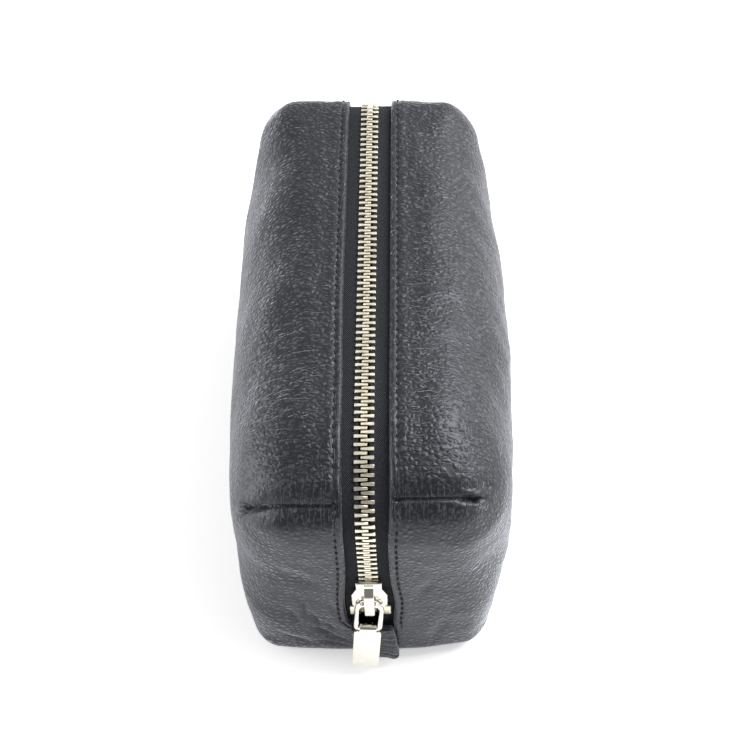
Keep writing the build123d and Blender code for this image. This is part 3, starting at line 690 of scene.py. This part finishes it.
for side, hand in ((1, "right"), (-1, "left")):
    for layer, node, edges, outside, inside, material, slot in (
        ("leather", "panel", edge_of_window(side), 0.0, WALL, LEATHER, "leather"),
        ("foam", "interlining", edge_of_foam(), *FOAM_DEPTHS, FOAM, "foam"),
        ("cloth_lining", "lining", edge_of_lining(), *LINING_DEPTHS, LINING_CLOTH, "lining"),
    ):
        piece = half_shell(side, f"{hand}_{layer}", edges, outside, inside, material)
        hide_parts(f"{hand}_{node}")


# ---------------------------------------------------------------- zip tape

# the tape's two edges off the middle, its two faces below the leather's, and its foot over the floor
TAPE_EDGE, TAPE_OUTER, TAPE_TOP, TAPE_UNDER = 1.9, 14.9, 2.55, 3.35
TAPE_FOOT = 16.0
# the slider's throat: its height, how far down it reaches and the radius that it spreads the tapes to
THROAT, THROAT_DEPTH, SPREAD_RADIUS = 52.0, 14.0, 35.24
TAPE_ROWS, TAPE_STEPS = 300, 14
BEAD_HEIGHT, BEAD_PLACE, BEAD_WIDTH = 0.5, 0.9, 0.75


def zip_tape(side, name, node):
    """One woven tape: it follows the bag from foot to foot, and its edge swings out inside the slider."""
    start = NEAR_FACE + TAPE_FOOT - BASE_BEND
    end = FAR_FACE_END - (TAPE_FOOT - BASE_BEND)
    distances = np.linspace(start, end, TAPE_ROWS)
    y, z, heading = walk(distances).T
    drop = np.clip(THROAT - z, 0, THROAT_DEPTH) * (y < 0)
    edge = TAPE_EDGE + SPREAD_RADIUS - np.sqrt(SPREAD_RADIUS ** 2 - drop ** 2)
    share = np.linspace(0, 1, TAPE_STEPS + 1) ** 1.6
    x = edge[:, None] + (TAPE_OUTER - edge[:, None]) * share
    bead = BEAD_HEIGHT * bell(x - edge[:, None] - BEAD_PLACE, BEAD_WIDTH)
    rows = []
    for inset in (TAPE_TOP - bead, np.full_like(bead, TAPE_UNDER)):
        rows.append(np.stack([side * x, y[:, None] + np.sin(heading)[:, None] * inset,
                              z[:, None] - np.cos(heading)[:, None] * inset], axis=2))
    ring = np.concatenate([rows[0], rows[1][:, ::-1]], axis=1)
    flat = np.stack([np.concatenate([x, x[:, ::-1]], axis=1),
                     np.repeat(distances[:, None], 2 * TAPE_STEPS + 2, axis=1),
                     np.zeros((len(distances), 2 * TAPE_STEPS + 2))], axis=2)
    count = ring.shape[1]
    index = np.arange(ring.shape[0] * count).reshape(-1, count)
    beside = np.roll(index, -1, axis=1)
    quads = np.stack([index[:-1], index[1:], beside[1:], beside[:-1]], axis=2).reshape(-1, 4)
    caps = []
    for row in (index[0], index[-1][::-1]):
        for k in range(TAPE_STEPS):
            caps.append((row[k], row[k + 1], row[count - 2 - k], row[count - 1 - k]))
    quads = np.vstack([quads, caps])
    quads = quads if side < 0 else quads[:, ::-1]
    piece = new_piece(name, ring.reshape(-1, 3), quads.tolist(), TAPE_CLOTH)
    keep(piece, "unrolled", flat.reshape(-1, 3))
    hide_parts(node)


zip_tape(1, "right_woven_tape", "right_zip_tape")
zip_tape(-1, "left_woven_tape", "left_zip_tape")


# ---------------------------------------------------------------- stitches beside the zip

STITCH_PITCH = 3.7
STITCH_LENGTH = 2.3
THREAD_RADIUS = 0.48
STITCH_STEPS, THREAD_SIDES = 7, 6


def topstitch(side, name, edges):
    """The row of stitches that holds the turned edge: each dips into the leather at both ends."""
    window = ROWS[on_ends_and_top(26)]
    first, last = window[0], window[-1]
    count = int((last - first) / STITCH_PITCH)
    along = np.linspace(-0.5, 0.5, STITCH_STEPS)
    sink = 0.15 + 0.8 * np.abs(2 * along) ** 3
    wide = THREAD_RADIUS * (1 - 0.35 * np.abs(2 * along) ** 4)
    verts, faces = [], []
    for centre in first + (np.arange(count) + 0.5) * STITCH_PITCH:
        distance = centre + along * STITCH_LENGTH
        y, z, heading = walk(distance).T
        x = np.interp(distance, ROWS, edges) + STITCH_INSET + 0.25 * along
        base = len(verts)
        for k in range(STITCH_STEPS):
            for j in range(THREAD_SIDES):
                angle = tau * j / THREAD_SIDES
                inset = sink[k] - wide[k] * sin(angle)
                verts.append((x[k] + wide[k] * cos(angle), y[k] + sin(heading[k]) * inset,
                              z[k] - cos(heading[k]) * inset))
        for k in range(STITCH_STEPS - 1):
            for j in range(THREAD_SIDES):
                a, b = [base + k * THREAD_SIDES + n % THREAD_SIDES for n in (j, j + 1)]
                faces.append((a, b, b + THREAD_SIDES, a + THREAD_SIDES))
        faces.append(tuple(range(base, base + THREAD_SIDES))[::-1])
        faces.append(tuple(range(len(verts) - THREAD_SIDES, len(verts))))
    new_piece(name, settle(np.array(verts), side), [f[::-1] if side > 0 else f for f in faces], THREAD)


topstitch(1, "right_topstitch", edge_of_window(1))
topstitch(-1, "left_topstitch", edge_of_window(-1))


# ---------------------------------------------------------------- metal pieces

# below this height the slider's body is drawn out, by the reach
NOSE_LINE = 47.0
NOSE_REACH = 2.4


def edit(piece):
    """Selects one piece alone and opens it for editing with everything in it selected."""
    bpy.ops.object.select_all(action="DESELECT")
    piece.select_set(True)
    bpy.context.view_layer.objects.active = piece
    bpy.ops.object.mode_set(mode="EDIT")
    bpy.ops.mesh.select_all(action="SELECT")


def lengthen_nose(piece):
    """Draws the wide part of the slider's body, at its nose, out by a little."""
    edit(piece)
    bpy.ops.mesh.select_all(action="DESELECT")
    bpy.ops.object.mode_set(mode="OBJECT")
    for vertex in piece.data.vertices:
        vertex.select = vertex.co.z < NOSE_LINE * MM
    bpy.ops.object.mode_set(mode="EDIT")
    bpy.ops.transform.translate(value=(0, 0, -NOSE_REACH * MM))
    bpy.ops.object.mode_set(mode="OBJECT")


def modified(piece, name, kind, **settings):
    """Gives a piece a modifier with its settings, and applies it."""
    modifier = piece.modifiers.new(name, kind)
    for setting, value in settings.items():
        setattr(modifier, setting, value)
    bpy.ops.object.modifier_apply(modifier=name)


def softened(node, name, width, segments, material, body):
    """A copy of a hard CAD piece with its triangles merged to faces and its edges rounded."""
    mesh = nodes[node].data.copy()
    piece = bpy.data.objects.new(name, mesh)
    bpy.context.scene.collection.objects.link(piece)
    edit(piece)
    bpy.ops.mesh.remove_doubles(threshold=0.000002)
    bpy.ops.mesh.dissolve_limited(angle_limit=radians(0.7))
    bpy.ops.object.mode_set(mode="OBJECT")
    if node == "slider_body":
        lengthen_nose(piece)
    if width:
        modified(piece, "rounded_edges", "BEVEL", width=width * MM, segments=segments, limit_method="ANGLE",
                 angle_limit=radians(28))
    bpy.ops.object.shade_smooth_by_angle(angle=radians(40 if width else 50))
    mesh.materials.clear()
    mesh.materials.append(material)
    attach(piece, body)
    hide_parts(node)
    return piece


softened("right_teeth", "right_row_of_teeth", 0.12, 1, TEETH_METAL, "bag")
softened("left_teeth", "left_row_of_teeth", 0.12, 1, TEETH_METAL, "bag")
softened("top_stops", "rounded_top_stops", 0.2, 2, TEETH_METAL, "bag")
softened("bottom_stop", "rounded_bottom_stop", 0.25, 2, TEETH_METAL, "bag")
softened("slider_body", "cast_slider_body", 0.22, 3, POLISHED_NICKEL, "slider")
softened("pull_link", "round_wire_link", 0.0, 1, POLISHED_NICKEL, "link")
softened("pull_tab", "polished_pull_tab", 0.2, 3, POLISHED_NICKEL, "pull")

# the crown's outer face from its nose foot to its tail foot, as (rise over the chain's middle, height)
CROWN_PATH = ((2.8, 40.0), (5.6, 40.0), (6.5, 40.4), (6.8, 41.3), (6.8, 52.6), (6.5, 53.6), (5.9, 54.2),
              (3.6, 55.4), (3.3, 55.9), (3.25, 56.9))
CROWN_WIDTH = 3.8
CROWN_STRIP = 1.2
CHAIN_MIDDLE = 2.95 - HALF_LENGTH


def sheet_crown():
    """The crown: a strip of plate bent up from the nose, along over the wire, and down to its tail foot."""
    (rise, height), (next_rise, _) = CROWN_PATH[:2]
    bpy.ops.mesh.primitive_plane_add(size=1, location=(0, 0, 0))
    piece = bpy.context.active_object
    piece.name = piece.data.name = "bent_slider_crown"
    edit(piece)
    bpy.ops.transform.resize(value=(CROWN_WIDTH * MM, (next_rise - rise) * MM, 1))
    bpy.ops.transform.translate(value=(0, (CHAIN_MIDDLE - (rise + next_rise) / 2) * MM, height * MM))
    bpy.ops.object.mode_set(mode="OBJECT")
    front = min(vertex.co.y for vertex in piece.data.vertices)
    for vertex in piece.data.vertices:
        vertex.select = vertex.co.y < front + 0.00001
    for edge in piece.data.edges:
        edge.select = all(piece.data.vertices[k].select for k in edge.vertices)
    for face in piece.data.polygons:
        face.select = False
    bpy.ops.object.mode_set(mode="EDIT")
    bpy.ops.mesh.select_mode(type="EDGE")
    for (rise, height), (next_rise, next_height) in zip(CROWN_PATH[1:], CROWN_PATH[2:]):
        bpy.ops.mesh.extrude_region_move(TRANSFORM_OT_translate={
            "value": (0, (rise - next_rise) * MM, (next_height - height) * MM)})
    bpy.ops.mesh.select_all(action="SELECT")
    bpy.ops.mesh.normals_make_consistent(inside=False)
    bpy.ops.mesh.select_mode(type="VERT")
    bpy.ops.object.mode_set(mode="OBJECT")
    middle = min(piece.data.polygons, key=lambda face: face.center.y)
    if middle.normal.y > 0:
        edit(piece)
        bpy.ops.mesh.flip_normals()
        bpy.ops.object.mode_set(mode="OBJECT")
    modified(piece, "plate", "SOLIDIFY", thickness=CROWN_STRIP * MM, offset=-1, use_even_offset=True)
    modified(piece, "rounded_edges", "BEVEL", width=0.22 * MM, segments=3, limit_method="ANGLE",
             angle_limit=radians(50))
    bpy.ops.object.shade_smooth_by_angle(angle=radians(35))
    piece.data.materials.append(POLISHED_NICKEL)
    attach(piece, "slider")
    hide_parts("slider_crown")


sheet_crown()


# a nose corner: its sizes, and where its middle stands off the zip, over the chain and over the floor
CORNER = (4.0, 1.3, 6.0)
CORNER_OUT, CORNER_RISE, CORNER_HEIGHT = 5.9, 1.2, 36.4


def nose_corners():
    """The two corners of the slider's nose, cast below the top plate, that spread the tapes."""
    for side, hand in ((1, "right"), (-1, "left")):
        bpy.ops.object.select_all(action="DESELECT")
        bpy.ops.mesh.primitive_cube_add(size=1, location=(0, 0, 0))
        piece = bpy.context.active_object
        piece.name = piece.data.name = f"{hand}_nose_corner"
        edit(piece)
        bpy.ops.transform.resize(value=[size * MM for size in CORNER])
        bpy.ops.transform.translate(value=(side * CORNER_OUT * MM, (CHAIN_MIDDLE - CORNER_RISE) * MM,
                                           CORNER_HEIGHT * MM))
        bpy.ops.mesh.bevel(offset=0.4 * MM, segments=3, affect="EDGES")
        bpy.ops.object.mode_set(mode="OBJECT")
        bpy.ops.object.shade_smooth_by_angle(angle=radians(40))
        piece.data.materials.append(TEETH_METAL)
        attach(piece, "slider")


nose_corners()


# ---------------------------------------------------------------- leather tabs over the ends of the zip

# a tab's foot over the floor, how far it stands off the leather, and the radii of its corners
TAB_FOOT = 4.5
TAB_STAND = 2.75
TAB_CORNER = 4.5
TAB_TOP_CORNER = 1.0
TAB_ROWS, TAB_SIDES = 60, 48


def end_tab(name, node, end, top, tops, feet, swell):
    """A folded leather tab over one end of the zip: rounded at its foot, creased across, a little askew.
    It goes from its top's height and side edges, tops, to its foot's, feet, and swells at the right."""
    draw = np.random.default_rng(31)
    heights = np.linspace(top, TAB_FOOT, TAB_ROWS + 1)
    phases = draw.uniform(0, tau, 6)
    angles = tau * np.arange(TAB_SIDES) / TAB_SIDES
    points = []
    for z in heights:
        share = (top - z) / (top - TAB_FOOT)
        low, high = [a + (b - a) * share for a, b in zip(tops, feet)]
        corner = max(0, TAB_CORNER - (z - TAB_FOOT))
        top_corner = max(0, TAB_TOP_CORNER - (top - z))
        shrink = (TAB_CORNER - sqrt(max(0, TAB_CORNER ** 2 - corner ** 2))) * 0.999
        shrink += TAB_TOP_CORNER - sqrt(max(0, TAB_TOP_CORNER ** 2 - top_corner ** 2))
        half = (high - low) / 2 - shrink
        edge = min(1, (z - TAB_FOOT) / 1.3, (top - z) / 0.9)
        thick = TAB_STAND * (0.25 + 0.75 * sqrt(max(0, 1 - (1 - edge) ** 2)))
        across = np.cos(angles)
        x = (low + high) / 2 + half * np.sign(across) * np.abs(across) ** 0.4
        depth = np.sign(np.sin(angles)) * np.abs(np.sin(angles)) ** 0.55
        crease = 0.13 * (sin(z * 1.9 + phases[0]) + sin(z * 3.1 + phases[1]) * 0.8)
        crease = crease * (0.6 + 0.4 * np.sin(x * 0.5 + phases[2])) + 0.08 * np.sin(z * 4.4 + x * 0.35)
        lifted = swell * smooth(x, 4.5, 9.0) * smooth(share, 0.1, 0.6)
        out = 0.1 + (TAB_STAND - thick) * 0.2 + thick * (depth + 1) / 2 + (crease + lifted) * (depth > 0) * edge
        points.append(np.column_stack([x, end * (HALF_LENGTH + out), np.full(TAB_SIDES, z)]))
    index = np.arange((TAB_ROWS + 1) * TAB_SIDES).reshape(-1, TAB_SIDES)
    beside = np.roll(index, -1, axis=1)
    quads = np.stack([index[:-1], beside[:-1], beside[1:], index[1:]], axis=2).reshape(-1, 4)
    faces = quads.tolist() + [index[0][::-1].tolist(), index[-1].tolist()]
    if end > 0:
        faces = [face[::-1] for face in faces]
    points = np.vstack(points)
    piece = new_piece(name, points, faces, LEATHER)
    keep(piece, "unrolled", points)
    keep(piece, "pull", np.full(len(points), 0.5))
    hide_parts(node)


end_tab("soft_near_end_tab", "near_end_tab", -1, 27.5, (-8.3, 8.6), (-5.5, 11.0), 1.3)
end_tab("soft_far_end_tab", "far_end_tab", 1, 30.0, (-8.0, 8.0), (-7.5, 7.5), 0.0)


# the base board is the one CAD node that stays as it is
nodes["base_board"].data.materials.clear()
nodes["base_board"].data.materials.append(BOARD)


# ---------------------------------------------------------------- floor, light and camera

# the ways from the bag to the room's dark open side, and to the dimmer part of its ceiling
DARK_SIDE = (0.0, -0.72, 0.69)
UP_LEFT = (-0.6, 0.35, 0.72)
# the lamps: name, place and size in metres, and power in watts
LAMPS = (
    ("softbox_right", (0.75, 0.25, 0.95), 0.8, 18.5),
    ("softbox_left", (-1.0, -0.1, 0.32), 0.7, 7.0),
)
LAMPS_AIM = (0, 0, 0.05)


def studio():
    """A plain white floor in a white room with a dark open side at the front, and two soft lamps."""
    bpy.ops.mesh.primitive_plane_add(size=6, location=(0, 0, 0))
    floor = bpy.context.active_object
    floor.name = "studio_floor"
    paper, shader = finish_named("white_paper_floor")
    shader.inputs["Base Color"].default_value = colour("#F4F4F5")
    shader.inputs["Roughness"].default_value = 0.9
    shader.inputs["Specular IOR Level"].default_value = 0.1
    shader.inputs["Emission Color"].default_value = colour("#FFFFFF")
    ray = add(paper, "ShaderNodeLightPath")
    glow = add(paper, "ShaderNodeMath", {1: 0.2}, {0: ray.outputs["Is Glossy Ray"]}, operation="MULTIPLY")
    lift = add(paper, "ShaderNodeMath", {1: 0.45}, {0: ray.outputs["Is Camera Ray"], 2: glow.outputs["Value"]},
               operation="MULTIPLY_ADD")
    paper.node_tree.links.new(lift.outputs["Value"], shader.inputs["Emission Strength"])
    floor.data.materials.append(paper)
    world = bpy.data.worlds.new("white_studio")
    bpy.context.scene.world = world
    world.use_nodes = True
    back = world.node_tree.nodes["Background"]
    back.inputs["Color"].default_value = colour("#FFFFFF")
    path = add(world, "ShaderNodeLightPath")
    way = add(world, "ShaderNodeTexCoord")
    towards = add(world, "ShaderNodeVectorMath", {1: DARK_SIDE}, {0: way.outputs["Generated"]},
                  operation="DOT_PRODUCT")
    room = add(world, "ShaderNodeMapRange", {"From Min": 0.6, "From Max": 0.95, "To Min": 1.0, "To Max": 0.2},
               {"Value": towards.outputs["Value"]}, interpolation_type="SMOOTHSTEP")
    up_left = add(world, "ShaderNodeVectorMath", {1: UP_LEFT}, {0: way.outputs["Generated"]},
                  operation="DOT_PRODUCT")
    left = add(world, "ShaderNodeMapRange", {"From Min": 0.5, "From Max": 0.95, "To Min": 1.0, "To Max": 0.55},
               {"Value": up_left.outputs["Value"]}, interpolation_type="SMOOTHSTEP")
    level = add(world, "ShaderNodeMath", links={0: room.outputs["Result"], 1: left.outputs["Result"]},
                operation="MULTIPLY")
    seen = add(world, "ShaderNodeMath", links={0: path.outputs["Is Camera Ray"], 1: level.outputs["Value"]},
               operation="MAXIMUM")
    world.node_tree.links.new(seen.outputs["Value"], back.inputs["Strength"])
    for name, place, size, power in LAMPS:
        lamp = bpy.data.lights.new(name, "AREA")
        lamp.size = size
        lamp.energy = power
        box = bpy.data.objects.new(name, lamp)
        box.location = place
        box.rotation_euler = (Vector(LAMPS_AIM) - Vector(place)).to_track_quat("-Z", "Y").to_euler()
        bpy.context.scene.collection.objects.link(box)


# the camera: its sensor in millimetres, its lens and its picture in pixels, its place in metres, and how far
# it looks down, turns and rolls in degrees
SENSOR = 36
LENS_PIXELS, FRAME_PIXELS = 1494, 750
CAMERA_PLACE = (0.02182, -0.39287, 0.54326)
CAMERA_ANGLES = (51.68, 3.05, -3.11)


def photo_camera():
    """The camera, solved from the pitch of the teeth and the run of the zip in the photograph."""
    down, yaw, roll = [radians(angle) for angle in CAMERA_ANGLES]
    ahead = Vector((-sin(yaw), cos(yaw), 0)) * cos(down) - Vector((0, 0, sin(down)))
    data = bpy.data.cameras.new("photo_camera")
    data.sensor_width = SENSOR
    data.lens = SENSOR * LENS_PIXELS / FRAME_PIXELS
    camera = bpy.data.objects.new("photo_camera", data)
    turn = ahead.to_track_quat("-Z", "Y").to_matrix().to_4x4() @ Matrix.Rotation(roll, 4, "Z")
    camera.matrix_world = Matrix.Translation(Vector(CAMERA_PLACE)) @ turn
    bpy.context.scene.collection.objects.link(camera)
    bpy.context.scene.camera = camera


studio()
photo_camera()
bpy.context.scene.view_settings.view_transform = "Standard"
